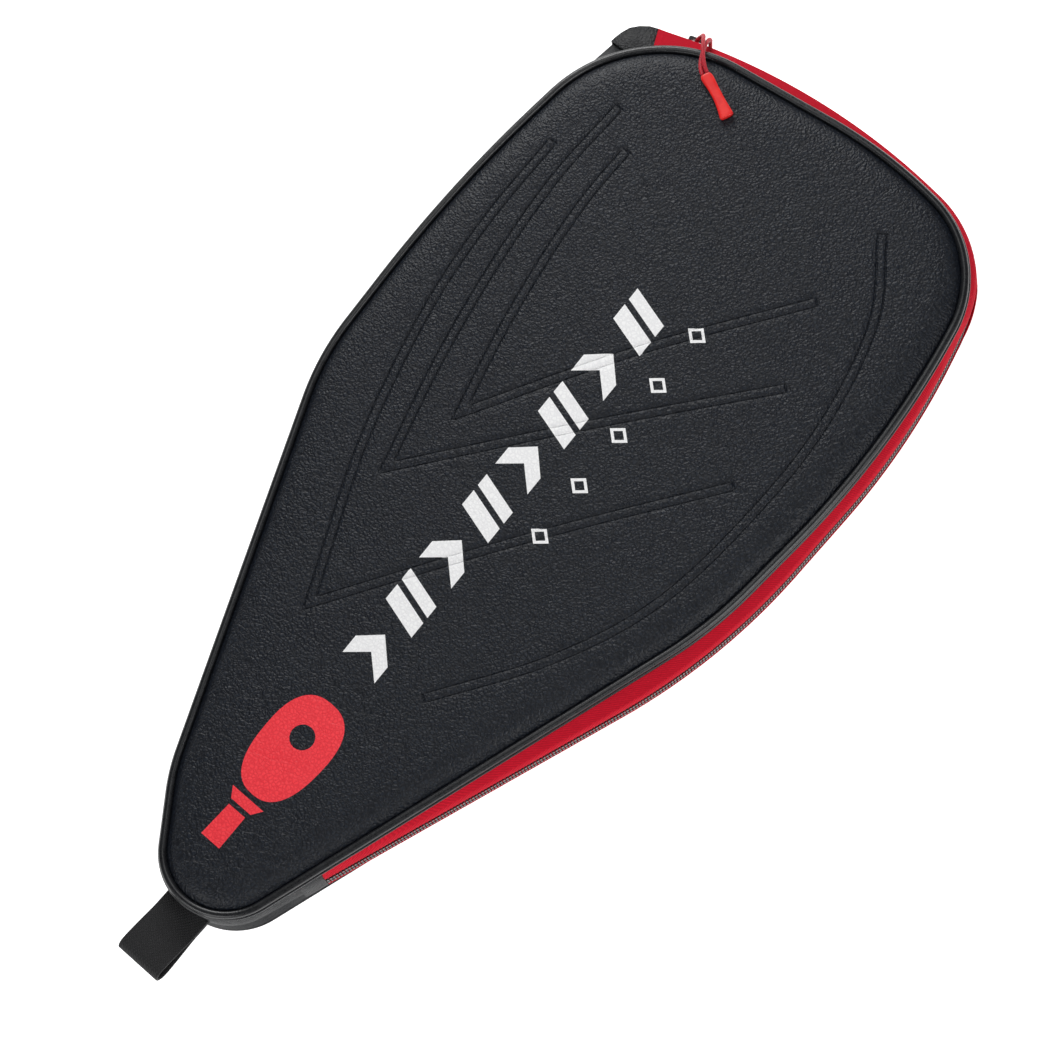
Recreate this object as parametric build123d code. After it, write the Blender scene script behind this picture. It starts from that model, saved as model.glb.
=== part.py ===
from build123d import *

import math
import os

# Padded zip case for a racket-sport paddle, lying on its back panel.
# +X points to the zip side, +Y to the head and +Z out of the front panel.
# The origin is on the resting face of the back panel, at the middle of the body.
# All sizes are in millimetres.

# ---- overall section ----
DEPTH = 38.0                # from the back panel's resting face to the front panel's face
MID_Z = DEPTH / 2           # height of the zip's centre line
PIPING_Z = 33.0             # height of the front piping's centre
SEAM_Z = 31.0               # height where the gusset meets the front seam
PIPING_R = 1.9
PIPING_CORD_R = 1.15
COVER_WALL = 0.7

# ---- front panel, from outside in ----
SKIN = 1.2
LINING = 0.8
PANEL_BASE_Z = 32.4         # inner face of the foam
PANEL_EDGE = [(2.2, 0.0), (3.4, 2.6), (7.0, 4.4), (14.0, 5.6)]   # inset from piping line, rise
LINING_INSET = 2.6
BINDING_INSET = 2.8
BINDING_WIDTH = 3.4
BINDING_DROP = 2.2

# ---- gusset and zip ----
GUSSET = 1.4
SEAM_REACH = 1.4            # gusset's outer face beyond the piping line, at the seam
STRIP_REACH = 2.3           # red strip's outer face beyond the zip line, at the tape
SPINE_REACH = 1.0           # spine gusset's outer face beyond the zip line, at mid height
SPINE_LINING = 0.6
STRIP_Z = 24.0              # edge of the red strip beside the zip tape
TAPE_EDGE_Z = 23.9
TAPE = 0.8
ZIP_GAP = 1.2               # clear slot between the two tape halves
COIL_DEPTH = 1.9
COIL_TOP_Z = 22.0
COIL_FACE = -0.05           # teeth's outer face, just behind the tape
END_CLEAR = 0.1             # gap between the zipped stretch and the spine
TAB = 1.1                   # thickness of the hemmed tabs over both zip ends
TAB_LENGTH = 11.0
TAB_CLEAR = 0.2             # gap between a tab and the gusset under it
TAB_TRIM = 2.0              # how far a tab stays below the front seam
START_TAB_LAP = 1.0         # how far the start tab laps over the red strip
END_TAB_GAP = 0.5           # clear of the cover's strip, which lifts away there
STOP = 0.45                 # thickness of the crimped zip stops
STOP_LENGTH = 2.4
STOP_CLEAR = 0.05

# ---- corners of the piping line: x, y and the radius that rounds each ----
PIPING_CORNERS = [
    (-109.0, 214.0, 70.0),
    (25.0, 234.0, 230.0),
    (96.0, 226.0, 55.0),
    (119.0, 126.0, 435.0),
    (112.0, 12.0, 200.0),
    (24.0, -271.0, 30.0),
    (-31.0, -194.0, 90.0),
    (-111.0, -6.0, 125.0),
    (-119.0, 95.0, 660.0),
]

# ---- corners of the zip's centre line, which stands outside the piping ----
ZIP_CORNERS = [
    (-106.0, 211.0, 22.0),
    (-20.0, 241.0, 325.0),
    (96.0, 230.0, 58.0),
    (122.0, 139.0, 340.0),
    (122.0, 5.0, 300.0),
    (24.0, -271.5, 30.5),
    (-32.0, -194.0, 90.0),
    (-112.5, -6.0, 125.0),
    (-120.0, 95.0, 660.0),
]
TOP_ARC = 1                 # the corner whose arc the slider follows

# ---- where the zip starts and ends, and the line on which the cover folds ----
ZIP_START = (-97.0, 211.4)
ZIP_START_NORMAL = (-0.5, 0.866)
ZIP_END = (54.0, -186.0)
ZIP_END_NORMAL = (0.942, -0.335)
TOP_STOP = (-89.4, 216.9)
TOP_STOP_NORMAL = (-0.329, 0.944)
BOTTOM_STOP = (55.3, -182.3)
FOLD_HEAD = (-36.0, 236.0)
FOLD_TAIL = (48.0, -187.0)
FOLD_KERF = 0.6
FOLD_AXIS_Z = 38.4

# ---- slider and puller ----
SLIDER_FROM_ARC_START = 6.5
SLIDER_LENGTH = 11.0
SLIDER_HALF_WIDTH = 4.6
OUTER_WING = (1.3, 2.5)     # offsets from the zip line
INNER_WING = (-4.1, -2.5)
WING_SHOULDER = 1.5         # where the wings start to taper
WING_TAPER = 1.3
WING_ROUND = 0.9
POST_THICKNESS = 0.8
POST_INSET = 0.6
POST_LENGTH = 2.8
BRIDGE_SPAN = 8.4
BRIDGE_WIDTH = 3.0
BRIDGE_BAR = 1.1
BRIDGE_CLEAR = 2.3
BRIDGE_FOOT = 1.5
PULL_CORD_D = 2.0
GRIP_THICKNESS = 2.8

# ---- hang loop at the tail ----
LOOP_X = 13.5
LOOP_WIDTH = 24.0
LOOP_WEB = 1.5
LOOP_ROOT_Y = -239.9
LOOP_END_Y = -269.5
LOOP_END_R = 5.0
LOOP_ROOT_R = 1.5
LOOP_SEWN = 5.5             # how far the two layers are sewn together
LOOP_TIP_R = 0.5

# ---- reach of the prisms that cut rings into pieces ----
FAR = 400.0
ZONE_REACH = 35.0
SLAB_REACH = 25.0


def grown(corners, grow):
    """The corner list of an outline moved outward by grow, with its radii to match."""
    moved = []
    count = len(corners)
    for i, (x, y, r) in enumerate(corners):
        before = corners[i - 1]
        after = corners[(i + 1) % count]
        n1 = left_normal(before, (x, y))
        n2 = left_normal((x, y), after)
        k = grow / (1 + n1[0] * n2[0] + n1[1] * n2[1])
        moved.append((x + k * (n1[0] + n2[0]), y + k * (n1[1] + n2[1]), r + grow))
    return moved


def left_normal(a, b):
    """Unit normal on the left of the way from a to b: outward on a clockwise outline."""
    dx = b[0] - a[0]
    dy = b[1] - a[1]
    length = math.hypot(dx, dy)
    return (-dy / length, dx / length)


def outline(corners, grow, z):
    """Closed rounded outline at height z."""
    points = []
    radii = []
    for x, y, r in grown(corners, grow):
        points.append((x, y, z))
        radii.append(r)
    return FilletPolyline(*points, radius=radii, close=True)


def stack(sections):
    """Solid through outlines, each given as corners, grow and z."""
    faces = []
    for corners, grow, z in sections:
        faces.append(make_face(outline(corners, grow, z)))
    return loft(faces, ruled=True)


def band(sections, wall):
    """Wall that follows the outlines, wall thick, on their inner side."""
    inner = []
    for corners, grow, z in sections:
        inner.append((corners, grow - wall, z))
    return stack(sections) - stack(inner)


def block(points, low=-20.0, high=80.0):
    """Tall prism over a polygon, used to cut rings and panels into pieces."""
    corners = [(x, y, low) for x, y in points]
    face = make_face(Polyline(*corners, close=True))
    return extrude(face, amount=high - low, dir=(0, 0, 1))


def across(point, normal, distance):
    """The point that lies distance outward of point."""
    return (point[0] + normal[0] * distance, point[1] + normal[1] * distance)


def zip_zone(shift=0.0):
    """Prism over the zipped stretch of the edge, its ends moved apart by shift."""
    start_along = (-ZIP_START_NORMAL[1] * shift, ZIP_START_NORMAL[0] * shift)
    end_along = (ZIP_END_NORMAL[1] * shift, -ZIP_END_NORMAL[0] * shift)
    start = (ZIP_START[0] + start_along[0], ZIP_START[1] + start_along[1])
    end = (ZIP_END[0] + end_along[0], ZIP_END[1] + end_along[1])
    points = [
        across(start, ZIP_START_NORMAL, -ZONE_REACH),
        across(start, ZIP_START_NORMAL, ZONE_REACH),
        (-FAR / 4, FAR),
        (FAR, FAR),
        (FAR, -FAR / 2),
        across(end, ZIP_END_NORMAL, ZONE_REACH),
        across(end, ZIP_END_NORMAL, -ZONE_REACH),
    ]
    return block(points)


def fold_side(side):
    """Prism over one side of the fold line: +1 is the flap, -1 the fixed side."""
    dx = FOLD_TAIL[0] - FOLD_HEAD[0]
    dy = FOLD_TAIL[1] - FOLD_HEAD[1]
    length = math.hypot(dx, dy)
    along = (dx / length, dy / length)
    right = (-along[1], along[0])
    half = FOLD_KERF / 2 * side
    a = (FOLD_HEAD[0] - FAR * along[0] + half * right[0], FOLD_HEAD[1] - FAR * along[1] + half * right[1])
    b = (FOLD_TAIL[0] + FAR * along[0] + half * right[0], FOLD_TAIL[1] + FAR * along[1] + half * right[1])
    far = (FAR * side * right[0], FAR * side * right[1])
    return block([a, b, (b[0] + far[0], b[1] + far[1]), (a[0] + far[0], a[1] + far[1])])


def to_back(shape):
    """The same piece on the back half: mirrored in the zip's middle plane."""
    return mirror(shape, about=Plane.XY.offset(MID_Z))


def write(name, shape):
    """One STEP file for one named piece."""
    solids = shape.solids()
    export_step(solids[0] if len(solids) == 1 else Compound(children=solids), f"parts/{name}.step")


def write_split(fixed_name, flap_name, shape):
    """A front piece cut on the fold line into its fixed side and its flap side."""
    write(fixed_name, shape & fold_side(-1))
    write(flap_name, shape & fold_side(1))


# ---- panels ----

def foam_core():
    """Foam between skin and lining: a low block under the sloping skin."""
    sections = [(PIPING_CORNERS, -(PANEL_EDGE[0][0] + SKIN), PANEL_BASE_Z)]
    for edge, rise in PANEL_EDGE[1:]:
        sections.append((PIPING_CORNERS, -(edge + SKIN), PANEL_BASE_Z + rise - SKIN))
    return stack(sections)


def front_panel_layers():
    """Skin, foam and lining of a whole front panel."""
    outer = []
    for edge, rise in PANEL_EDGE:
        outer.append((PIPING_CORNERS, -edge, PANEL_BASE_Z + rise))
    foam = foam_core()
    skin = stack(outer) - foam
    lining = stack([
        (PIPING_CORNERS, -LINING_INSET, PANEL_BASE_Z - LINING),
        (PIPING_CORNERS, -LINING_INSET, PANEL_BASE_Z),
    ])
    return skin, foam, lining


def seam_binding():
    """Bound seam allowance, a flat ring under the lining's edge."""
    top = PANEL_BASE_Z - LINING
    return band([
        (PIPING_CORNERS, -BINDING_INSET, top - BINDING_DROP),
        (PIPING_CORNERS, -BINDING_INSET, top),
    ], BINDING_WIDTH)


def piping_ring(outer_r, inner_r):
    """Round ring along the piping line, hollow where inner_r is given."""
    path = outline(PIPING_CORNERS, 0.0, PIPING_Z)
    start = path @ 0
    plane = Plane(origin=start, z_dir=path % 0)
    ring = sweep(plane * Circle(outer_r), path=path)
    if inner_r:
        ring -= sweep(plane * Circle(inner_r), path=path)
    return ring


# ---- gusset and zip ----

def front_strip():
    """Red strip from the front seam down to the zip tape, all round."""
    return band([
        (ZIP_CORNERS, STRIP_REACH, STRIP_Z),
        (PIPING_CORNERS, SEAM_REACH, SEAM_Z),
    ], GUSSET)


def spine_wall(grow, wall, inset_z):
    """Full-height gusset wall that bows out to the zip line at mid height."""
    lower = band([
        (PIPING_CORNERS, SEAM_REACH + grow, DEPTH - SEAM_Z + inset_z),
        (ZIP_CORNERS, SPINE_REACH + grow, MID_Z),
    ], wall)
    upper = band([
        (ZIP_CORNERS, SPINE_REACH + grow, MID_Z),
        (PIPING_CORNERS, SEAM_REACH + grow, SEAM_Z - inset_z),
    ], wall)
    return lower + upper


def front_tape():
    """Upright tape half, from the slot to the strip's edge."""
    return band([
        (ZIP_CORNERS, TAPE, MID_Z + ZIP_GAP / 2),
        (ZIP_CORNERS, TAPE, TAPE_EDGE_Z),
    ], TAPE)


def front_coil():
    """Tooth row behind the tape's edge."""
    return band([
        (ZIP_CORNERS, COIL_FACE, MID_Z + ZIP_GAP / 2),
        (ZIP_CORNERS, COIL_FACE, COIL_TOP_Z),
    ], COIL_DEPTH)


def slab(point, normal, length, low, high):
    """Upright slab across the edge at point, length long along the edge."""
    along = (-normal[1], normal[0])
    a = across(point, along, -length / 2)
    b = across(point, along, length / 2)
    return block([
        across(a, normal, -SLAB_REACH),
        across(a, normal, SLAB_REACH),
        across(b, normal, SLAB_REACH),
        across(b, normal, -SLAB_REACH),
    ], low, high)


def end_tab(point, normal, lap, turn):
    """Hemmed tab that covers one end of the zip, on the spine gusset's end."""
    grow = TAB_CLEAR + TAB
    ring = band([
        (PIPING_CORNERS, SEAM_REACH + grow, DEPTH - SEAM_Z),
        (ZIP_CORNERS, STRIP_REACH + grow, DEPTH - STRIP_Z),
        (ZIP_CORNERS, STRIP_REACH + grow, STRIP_Z),
        (PIPING_CORNERS, SEAM_REACH + grow, SEAM_Z),
    ], TAB)
    along = (-normal[1], normal[0])
    middle = across(point, along, turn * (TAB_LENGTH / 2 - lap))
    return ring & slab(middle, normal, TAB_LENGTH, DEPTH - SEAM_Z + TAB_TRIM, SEAM_Z - TAB_TRIM)


def zip_stop(point, normal, low, high):
    """Small crimped stop on the face of the tape's edge."""
    face = TAPE + STOP_CLEAR + STOP
    ring = band([
        (ZIP_CORNERS, face, low),
        (ZIP_CORNERS, face, high),
    ], STOP)
    return ring & slab(point, normal, STOP_LENGTH, low - 1, high + 1)


# ---- slider's place on the top arc ----

def top_arc():
    """Centre and start point of the arc of the zip line that the slider follows."""
    x, y, r = ZIP_CORNERS[TOP_ARC]
    before = ZIP_CORNERS[TOP_ARC - 1]
    after = ZIP_CORNERS[TOP_ARC + 1]
    n1 = left_normal(before, (x, y))
    n2 = left_normal((x, y), after)
    k = r / (1 + n1[0] * n2[0] + n1[1] * n2[1])
    centre = (x - k * (n1[0] + n2[0]), y - k * (n1[1] + n2[1]))
    start_angle = math.degrees(math.atan2(n1[1], n1[0]))
    end_angle = math.degrees(math.atan2(n2[1], n2[0]))
    return centre, r, start_angle, end_angle


ARC_CENTRE, ARC_R, ARC_START, ARC_END = top_arc()
SLIDER_STEP = math.degrees(SLIDER_FROM_ARC_START / ARC_R)
SLIDER_ANGLE = ARC_START - SLIDER_STEP
SLIDER_TRAVEL = ARC_START - ARC_END - 2 * SLIDER_STEP


def slider_frame():
    """Frame at the slider: x along the zip to its closed side, y down to the back, z outward."""
    a = math.radians(SLIDER_ANGLE)
    origin = (ARC_CENTRE[0] + ARC_R * math.cos(a), ARC_CENTRE[1] + ARC_R * math.sin(a), MID_Z)
    out = (math.cos(a), math.sin(a), 0)
    along = (math.sin(a), -math.cos(a), 0)
    return Plane(origin=origin, x_dir=along, z_dir=out)


def local_box(x0, x1, y0, y1, z0, z1):
    """Box between two corners in the slider's frame."""
    box = Box(x1 - x0, y1 - y0, z1 - z0, align=(Align.MIN, Align.MIN, Align.MIN))
    return box.moved(Location((x0, y0, z0)))


def slider_body():
    """Two wings joined by the post that parts the teeth."""
    half = SLIDER_LENGTH / 2
    outline_2d = Polyline(
        (-half, -SLIDER_HALF_WIDTH),
        (WING_SHOULDER, -SLIDER_HALF_WIDTH),
        (half, -SLIDER_HALF_WIDTH + WING_TAPER),
        (half, SLIDER_HALF_WIDTH - WING_TAPER),
        (WING_SHOULDER, SLIDER_HALF_WIDTH),
        (-half, SLIDER_HALF_WIDTH),
        close=True,
    )
    wing = fillet(make_face(outline_2d).vertices(), WING_ROUND)
    outer = extrude(wing, OUTER_WING[1] - OUTER_WING[0]).moved(Location((0, 0, OUTER_WING[0])))
    inner = extrude(wing, INNER_WING[1] - INNER_WING[0]).moved(Location((0, 0, INNER_WING[0])))
    post_x = POST_INSET - half
    post_y = POST_THICKNESS / 2
    post = local_box(post_x, post_x + POST_LENGTH, -post_y, post_y, INNER_WING[1], OUTER_WING[0])
    return slider_frame() * (outer + inner + post)


def slider_bridge():
    """Low bridge along the outer wing that the cord is threaded through."""
    half = BRIDGE_SPAN / 2
    top = OUTER_WING[1] + BRIDGE_CLEAR + BRIDGE_BAR
    solid = local_box(-half, half, -BRIDGE_WIDTH / 2, BRIDGE_WIDTH / 2, OUTER_WING[1], top)
    inner = half - BRIDGE_FOOT
    tunnel = local_box(-inner, inner, -BRIDGE_WIDTH, BRIDGE_WIDTH, OUTER_WING[1], top - BRIDGE_BAR)
    solid -= tunnel
    ends = solid.edges().filter_by(Axis.Y).sort_by(Axis.Z)[-2:]
    return slider_frame() * fillet(ends, WING_ROUND)


# Route of the puller's cord in the slider's frame. The bight is threaded round the
# bridge's foot, and the two legs go from it over the piping to the grip.
BIGHT_ROUTE = [
    (6.9, -4.7, 4.95),
    (6.7, 0.0, 4.6),
    (6.2, 4.8, 4.1),
    (1.0, 5.0, 3.7),
    (0.0, 0.4, 3.65),
    (0.3, -3.0, 3.75),
    (1.3, -5.0, 4.95),
]
NEAR_LEG = [
    (7.2, -6.9, 5.1),
    (7.6, -12.4, 3.6),
    (8.0, -17.6, -2.0),
    (10.7, -20.2, -14.1),
    (13.8, -20.9, -16.9),
]
FAR_LEG = [
    (2.4, -6.9, 5.1),
    (4.6, -13.0, 4.6),
    (7.4, -20.4, -1.6),
    (12.2, -21.6, -12.4),
    (15.4, -20.9, -15.1),
]
GRIP_WAY = (0.749, 0.0, -0.663)
GRIP_SIDE = [(0.0, 2.6), (2.2, 3.0), (8.0, 2.5), (14.0, 2.4), (20.6, 3.1), (23.2, 3.5), (24.0, 3.0)]
GRIP_EDGE = 0.7             # chamfer round the grip's two faces
GRIP_GAP = 0.1
PULLER_PIVOT = (4.3, -5.8, 5.0)
CORD_SLACK = 0.45           # share of the shorter run that each bend may use


def bend_radii(points):
    """Largest tangent arc that the runs beside each inner point allow."""
    radii = []
    for a, b, c in zip(points, points[1:], points[2:]):
        first = Vector(*b) - Vector(*a)
        second = Vector(*c) - Vector(*b)
        half_turn = math.radians(first.get_angle(second)) / 2
        radii.append(CORD_SLACK * min(first.length, second.length) / math.tan(half_turn))
    return radii


def round_cord(points):
    """Round cord of straight runs joined by tangent arcs."""
    radii = bend_radii(points)
    path = FilletPolyline(*points, radius=radii)
    section = Plane(origin=path @ 0, z_dir=path % 0) * Circle(PULL_CORD_D / 2)
    tube = sweep(section, path=path)
    expected = math.pi * (PULL_CORD_D / 2) ** 2 * path.length
    print("cord radii", [round(r, 1) for r in radii], "length", round(path.length, 1))
    print("cord volume", round(tube.volume, 1), "expected", round(expected, 1))
    return slider_frame() * tube


def puller_grip():
    """Moulded grip: shouldered at the cord, slim in the middle, flared at its blunt end."""
    mirrored = [(x, -y) for x, y in reversed(GRIP_SIDE)]
    face = make_face(Polyline(*GRIP_SIDE, *mirrored, close=True))
    body = extrude(face, GRIP_THICKNESS / 2, both=True)
    rims = body.edges().group_by(Axis.Z)
    body = chamfer(rims[0] + rims[-1], GRIP_EDGE)
    along = Vector(*GRIP_WAY)
    origin = (Vector(*NEAR_LEG[-1]) + Vector(*FAR_LEG[-1])) * 0.5 + along.normalized() * GRIP_GAP
    frame = Plane(origin=origin, x_dir=along, z_dir=(0, 1, 0))
    return slider_frame() * (frame * body)


# ---- hang loop ----

def drop_shape(root_y, root_r, end_y, end_r):
    """Face of a drop in the Y and Z plane: the hull of a small and a large circle."""
    root = Pos(root_y, MID_Z) * Circle(root_r)
    end = Pos(end_y, MID_Z) * Circle(end_r)
    return make_hull(root.edges() + end.edges())


def tail_loop():
    """Folded webbing loop, its root rounded about the hinge line at the seam."""
    end_y = LOOP_END_Y + LOOP_END_R
    outer = drop_shape(LOOP_ROOT_Y, LOOP_ROOT_R, end_y, LOOP_END_R)
    inner = drop_shape(LOOP_ROOT_Y - LOOP_SEWN, LOOP_TIP_R, end_y, LOOP_END_R - LOOP_WEB)
    side = Plane(origin=(LOOP_X - LOOP_WIDTH / 2, 0, 0), x_dir=(0, 1, 0), z_dir=(1, 0, 0))
    return extrude(side * (outer - inner), LOOP_WIDTH)


def main():
    os.makedirs("parts", exist_ok=True)
    zone = zip_zone()

    skin, foam, lining = front_panel_layers()
    binding = seam_binding()
    cover = piping_ring(PIPING_R, PIPING_R - COVER_WALL)
    cord = piping_ring(PIPING_CORD_R, 0)
    layers = [
        ("skin", skin),
        ("foam", foam),
        ("lining", lining),
        ("seam_binding", binding),
        ("piping_cover", cover),
        ("piping_cord", cord),
    ]
    for name, shape in layers:
        write_split(f"front_{name}", f"flap_{name}", shape)
        write(f"back_{name}", to_back(shape))

    zip_layers = [("gusset", front_strip()), ("tape", front_tape()), ("teeth", front_coil())]
    for name, ring in zip_layers:
        stretch = ring & zone
        write_split(f"front_zip_{name}_start", f"flap_zip_{name}", stretch)
        write(f"back_zip_{name}", to_back(stretch))

    write("spine_gusset", spine_wall(0.0, GUSSET, 0.0) - zip_zone(END_CLEAR))
    write("spine_lining", spine_wall(-GUSSET - 0.1, SPINE_LINING, 0.4) - zip_zone(END_CLEAR))
    write("zip_start_tab", end_tab(ZIP_START, ZIP_START_NORMAL, START_TAB_LAP, 1))
    write("zip_end_tab", end_tab(ZIP_END, ZIP_END_NORMAL, -END_TAB_GAP, -1))

    row = MID_Z + ZIP_GAP / 2
    top_stop = zip_stop(TOP_STOP, TOP_STOP_NORMAL, row, row + STOP_LENGTH)
    write("zip_top_stops", Compound(children=[top_stop, to_back(top_stop)]))
    write("zip_bottom_stop", to_back(zip_stop(BOTTOM_STOP, ZIP_END_NORMAL, row, row + STOP_LENGTH)))

    write("slider_body", slider_body())
    write("slider_bridge", slider_bridge())
    write("puller_cord_bight", round_cord(BIGHT_ROUTE))
    write("puller_cord_legs", Compound(children=[round_cord(NEAR_LEG), round_cord(FAR_LEG)]))
    write("puller_grip", puller_grip())
    write("tail_loop", tail_loop())

    frame = slider_frame()
    print("slider arc centre", ARC_CENTRE, "radius", ARC_R, "travel in degrees", SLIDER_TRAVEL)
    print("puller pivot", frame.from_local_coords(Vector(*PULLER_PIVOT)), "along", frame.x_dir)


main()
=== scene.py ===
import math

import bmesh
import bpy
import numpy as np
from mathutils import Matrix, Vector
from mathutils.geometry import delaunay_2d_cdt
from mathutils.kdtree import KDTree
from mathutils.noise import noise


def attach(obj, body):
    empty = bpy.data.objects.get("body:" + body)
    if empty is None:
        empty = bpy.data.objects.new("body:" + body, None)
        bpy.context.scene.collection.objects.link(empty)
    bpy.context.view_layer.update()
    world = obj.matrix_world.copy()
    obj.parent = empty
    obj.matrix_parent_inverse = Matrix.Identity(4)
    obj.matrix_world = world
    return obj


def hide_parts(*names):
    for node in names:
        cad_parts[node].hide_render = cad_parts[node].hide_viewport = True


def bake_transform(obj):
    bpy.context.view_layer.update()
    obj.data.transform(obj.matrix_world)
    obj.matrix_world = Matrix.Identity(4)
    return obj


# Looks of the padded paddle case. Sizes are in millimetres unless said otherwise; meshes are made in metres.
# +X is towards the zip side, +Y towards the head and +Z out of the front panel.

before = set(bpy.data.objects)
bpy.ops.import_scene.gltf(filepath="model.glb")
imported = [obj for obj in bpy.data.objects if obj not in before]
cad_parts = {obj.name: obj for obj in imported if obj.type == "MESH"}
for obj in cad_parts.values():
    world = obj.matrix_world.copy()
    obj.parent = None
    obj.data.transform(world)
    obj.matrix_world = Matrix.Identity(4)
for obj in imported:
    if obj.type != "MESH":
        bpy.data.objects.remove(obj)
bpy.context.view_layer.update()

MM = 0.001
DEPTH = 38.0
MID_Z = DEPTH / 2
PIPING_Z = 33.0
PANEL_BASE_Z = 32.4

# Corners of the two outlines, as x, y and radius, clockwise from the head's left corner.
PIPING_CORNERS = [
    (-109.0, 214.0, 70.0),
    (25.0, 234.0, 230.0),
    (96.0, 226.0, 55.0),
    (119.0, 126.0, 435.0),
    (112.0, 12.0, 200.0),
    (24.0, -271.0, 30.0),
    (-31.0, -194.0, 90.0),
    (-111.0, -6.0, 125.0),
    (-119.0, 95.0, 660.0),
]
ZIP_CORNERS = [
    (-106.0, 211.0, 22.0),
    (-20.0, 241.0, 325.0),
    (96.0, 230.0, 58.0),
    (122.0, 139.0, 340.0),
    (122.0, 5.0, 300.0),
    (24.0, -271.5, 30.5),
    (-32.0, -194.0, 90.0),
    (-112.5, -6.0, 125.0),
    (-120.0, 95.0, 660.0),
]
ZIP_START = (-97.0, 211.4)
ZIP_END = (54.0, -186.0)

# ---- camera ----
# PANEL_RIGHT and PANEL_UP are +X and +Y after the least turn that brings +Z to the camera. TURN_COS and
# TURN_SIN turn the case in the picture. AIM, VIEW_WIDTH and CAMERA_DISTANCE are in metres.
VIEW_FROM = Vector((0.27, -0.12, 0.9553)).normalized()
PANEL_RIGHT = Vector((0.9627, 0.0166, -0.27))
PANEL_UP = Vector((0.0166, 0.9926, 0.12))
TURN_COS = 0.75677
TURN_SIN = 0.65368
AIM = Vector((0.0116, -0.0053, 0.033))
VIEW_WIDTH = 0.4714
CAMERA_DISTANCE = 2.0
SENSOR = 36.0
CLIP_END = 20.0


def add_camera():
    """The camera, far off, with the case turned in its picture."""
    data = bpy.data.cameras.new("camera")
    data.sensor_width = SENSOR
    data.lens = SENSOR * CAMERA_DISTANCE / VIEW_WIDTH
    data.clip_end = CLIP_END
    camera = bpy.data.objects.new("camera", data)
    right = (PANEL_RIGHT * TURN_COS + PANEL_UP * TURN_SIN).normalized()
    up = VIEW_FROM.cross(right).normalized()
    turn = Matrix((right, up, VIEW_FROM)).transposed().to_4x4()
    camera.matrix_world = Matrix.Translation(AIM + VIEW_FROM * CAMERA_DISTANCE) @ turn
    bpy.context.scene.collection.objects.link(camera)
    bpy.context.scene.camera = camera


add_camera()


# ---- meshes and materials ----

def mesh_object(name, points, faces, materials, smooth=True):
    """New mesh from points in millimetres."""
    mesh = bpy.data.meshes.new(name)
    mesh.from_pydata([(x * MM, y * MM, z * MM) for x, y, z in points], [], faces)
    mesh.update()
    obj = bpy.data.objects.new(name, mesh)
    bpy.context.scene.collection.objects.link(obj)
    for one in materials if isinstance(materials, (list, tuple)) else [materials]:
        mesh.materials.append(one)
    if smooth:
        for polygon in mesh.polygons:
            polygon.use_smooth = True
    return obj


MERGE_BELOW = 1e-7          # metres


def fix_normals(obj):
    """Merges points that coincide and turns every face outwards."""
    made = bmesh.new()
    made.from_mesh(obj.data)
    bmesh.ops.remove_doubles(made, verts=made.verts, dist=MERGE_BELOW)
    bmesh.ops.recalc_face_normals(made, faces=made.faces)
    made.to_mesh(obj.data)
    made.free()
    obj.data.update()


def swept_faces(count, sides, base=0, looped=False, closed=True):
    """Faces between count rings of sides points each, the first of them at index base.

    looped joins the last ring to the first, and closed joins each ring's last point to its first. A closed
    sweep that isn't looped gets both of its ends.
    """
    faces = []
    for i in range(count if looped else count - 1):
        here = base + i * sides
        after = base + (i + 1) % count * sides
        for k in range(sides if closed else sides - 1):
            turn = (k + 1) % sides
            faces.append((here + k, here + turn, after + turn, after + k))
    if closed and not looped:
        faces.append(tuple(range(base, base + sides))[::-1])
        faces.append(tuple(range(base + (count - 1) * sides, base + count * sides)))
    return faces


def signed_power(value, power):
    """value raised to power with its sign kept, which squares off a circle."""
    return math.copysign(abs(value) ** power, value)


def ride_as(obj, body, slot, *nodes):
    """Puts a piece on its body and hides the parts of the nodes it stands for."""
    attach(obj, body)
    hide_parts(*nodes)


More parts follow.
